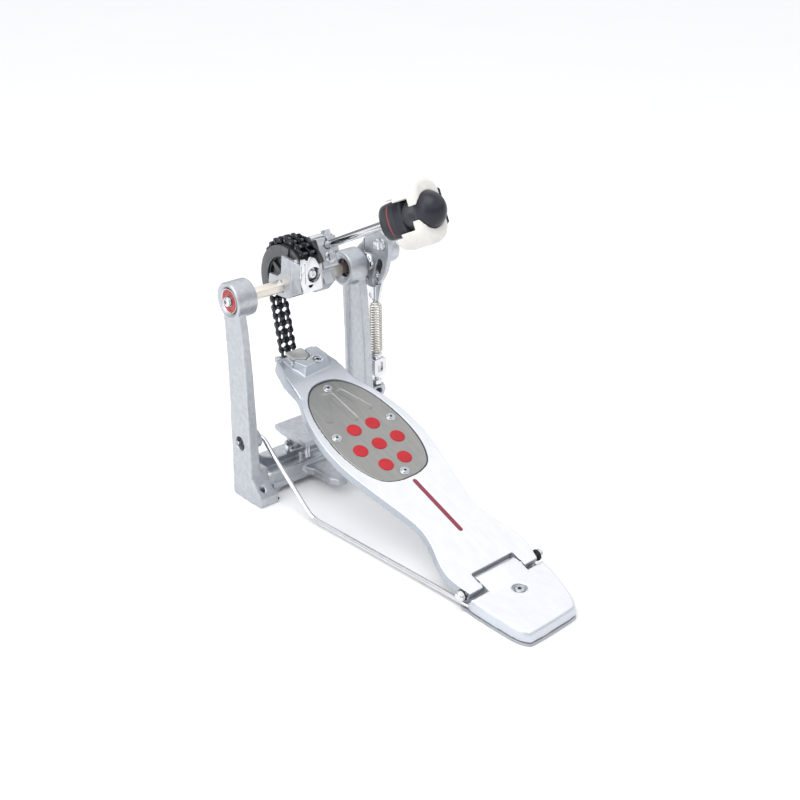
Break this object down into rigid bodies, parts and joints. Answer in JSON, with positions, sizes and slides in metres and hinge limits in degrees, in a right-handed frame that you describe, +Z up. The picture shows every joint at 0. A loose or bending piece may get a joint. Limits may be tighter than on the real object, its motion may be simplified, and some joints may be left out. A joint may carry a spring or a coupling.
{
  "type": "bass drum pedal",
  "caption": "Single bass drum pedal: hinged footboard drives a cam by a duplex chain, turning an axle with a felt beater, a return spring and a hoop clamp.",
  "frame": {"origin": "on the base's underside, directly below the middle of the axle", "axes": "+X along the axle towards the spring side, +Y towards the drum, +Z up"},
  "size_m": [0.1658, 0.374, 0.308],
  "materials": {
    "cast_alloy": "satin",
    "board_alloy": "satin",
    "tread_plate": "brushed",
    "pale_gold_alloy": "satin",
    "axle_steel": "satin",
    "bearing_seal": "matte",
    "cam_plastic": "matte",
    "black_chain": "gloss",
    "beater_plastic": "satin",
    "white_felt": "felted",
    "spring_wire": "bright",
    "red_dot": "matte",
    "black_rubber": "matte",
    "heel_base_steel": "matte",
    "bright_chrome": "polished"
  },
  "bodies": {
    "frame": {"base_frame": "cast_alloy", "left_post": "cast_alloy", "right_post": "cast_alloy", "left_bearing": "bearing_seal", "right_bearing": "bearing_seal", "left_foot_rubber": "black_rubber", "right_foot_rubber": "black_rubber", "left_wire": "bright_chrome", "right_wire": "bright_chrome", "heel_plate": "board_alloy", "heel_base": "heel_base_steel", "heel_screw": "bright_chrome", "hinge_pin": "bright_chrome", "jaw_pin": "bright_chrome", "spring_anchor": "cast_alloy", "spring_adjuster": "bright_chrome", "return_spring": "spring_wire"},
    "axle_group": {"axle": "axle_steel", "axle_bolt": "bright_chrome", "axle_nut": "bright_chrome", "cam": "cam_plastic", "cam_hub": "cast_alloy", "chain_on_cam": "black_chain", "chain_clamp": "bright_chrome", "chain_clamp_bolt": "bright_chrome", "beater_holder": "cast_alloy", "holder_key_1": "bright_chrome", "holder_key_2": "bright_chrome", "spring_rocker": "cast_alloy", "rocker_bolt": "bright_chrome"},
    "footboard": {"footboard": "board_alloy", "oval_plate": "tread_plate", "toe_clamp": "pale_gold_alloy", "toe_screw": "bright_chrome", "plate_screw_1": "bright_chrome", "plate_screw_2": "bright_chrome", "plate_screw_3": "bright_chrome", "plate_screw_4": "bright_chrome", "grip_dot_1": "red_dot", "grip_dot_2": "red_dot", "grip_dot_3": "red_dot", "grip_dot_4": "red_dot", "grip_dot_5": "red_dot", "grip_dot_6": "red_dot", "grip_dot_7": "red_dot"},
    "chain_hang": {"chain_straight": "black_chain"},
    "link_1": {"chain_link_1": "black_chain"},
    "link_2": {"chain_link_2": "black_chain"},
    "link_3": {"chain_link_3": "black_chain"},
    "link_4": {"chain_link_4": "black_chain"},
    "beater_rod": {"beater_shaft": "bright_chrome"},
    "beater_head": {"beater_core": "beater_plastic", "felt_front": "white_felt", "felt_back": "white_felt"},
    "hook": {"spring_hook": "bright_chrome"},
    "jaw": {"hoop_jaw": "cast_alloy"},
    "clamp_screw": {"hoop_screw": "bright_chrome"},
    "nut": {"adjuster_nut": "bright_chrome"}
  },
  "joints": [
    {"name": "footboard_hinge", "type": "hinge", "parent": "frame", "child": "footboard", "pos_m": [0, -0.2619, 0.0134], "axis": [1, 0, 0], "range_deg": [-7.6, 0], "stiffness_Nm_per_rad": 2.5, "springref_deg": 25.78},
    {"name": "axle_turn", "type": "hinge", "parent": "frame", "child": "axle_group", "pos_m": [0, 0, 0.19], "axis": [1, 0, 0], "range_deg": [-58.4, 0]},
    {"name": "chain_toe", "type": "hinge", "parent": "footboard", "child": "chain_hang", "pos_m": [0, 0.01541, 0.11258], "axis": [1, 0, 0], "range_deg": [0, 13.4]},
    {"name": "link_bend_1", "type": "hinge", "parent": "axle_group", "child": "link_1", "pos_m": [0, 0.02292, 0.2204], "axis": [1, 0, 0], "range_deg": [0, 14.4]},
    {"name": "link_bend_2", "type": "hinge", "parent": "link_1", "child": "link_2", "pos_m": [0, 0.02783, 0.21408], "axis": [1, 0, 0], "range_deg": [0, 14.4]},
    {"name": "link_bend_3", "type": "hinge", "parent": "link_2", "child": "link_3", "pos_m": [0, 0.03105, 0.20676], "axis": [1, 0, 0], "range_deg": [0, 14.4]},
    {"name": "link_bend_4", "type": "hinge", "parent": "link_3", "child": "link_4", "pos_m": [0, 0.03237, 0.19887], "axis": [1, 0, 0], "range_deg": [0, 14.4]},
    {"name": "hook_lift", "type": "slide", "parent": "frame", "child": "hook", "axis": [0, 0, 1], "range_m": [0, 0.019], "deforming": ["return_spring"]},
    {"name": "beater_height", "type": "slide", "parent": "axle_group", "child": "beater_rod", "axis": [0, -0.9033, 0.4289], "range_m": [-0.03, 0.012]},
    {"name": "beater_turn", "type": "hinge", "parent": "beater_rod", "child": "beater_head", "pos_m": [0.027, 0.00987, 0.21078], "axis": [0, -0.9033, 0.4289], "continuous": true},
    {"name": "jaw_hinge", "type": "hinge", "parent": "frame", "child": "jaw", "pos_m": [0, 0.002, 0.0275], "axis": [1, 0, 0], "range_deg": [-20, 8]},
    {"name": "clamp_screw_turn", "type": "hinge", "parent": "jaw", "child": "clamp_screw", "pos_m": [0, -0.007, 0.0285], "axis": [0, 0, 1], "continuous": true},
    {"name": "adjuster_nut_turn", "type": "hinge", "parent": "frame", "child": "nut", "pos_m": [0.084, -0.01, 0.0706], "axis": [0, 0, 1], "continuous": true}
  ],
  "couplings": [
    {"joint": "axle_turn", "follows": "footboard_hinge", "ratio": 7.67},
    {"joint": "chain_toe", "follows": "footboard_hinge", "ratio": -1.745},
    {"joint": "link_bend_1", "follows": "footboard_hinge", "ratio": -1.8687},
    {"joint": "link_bend_2", "follows": "footboard_hinge", "ratio": -1.8687},
    {"joint": "link_bend_3", "follows": "footboard_hinge", "ratio": -1.8687},
    {"joint": "link_bend_4", "follows": "footboard_hinge", "ratio": -1.8687},
    {"joint": "hook_lift", "follows": "footboard_hinge", "m_per_rad": -0.1417}
  ]
}
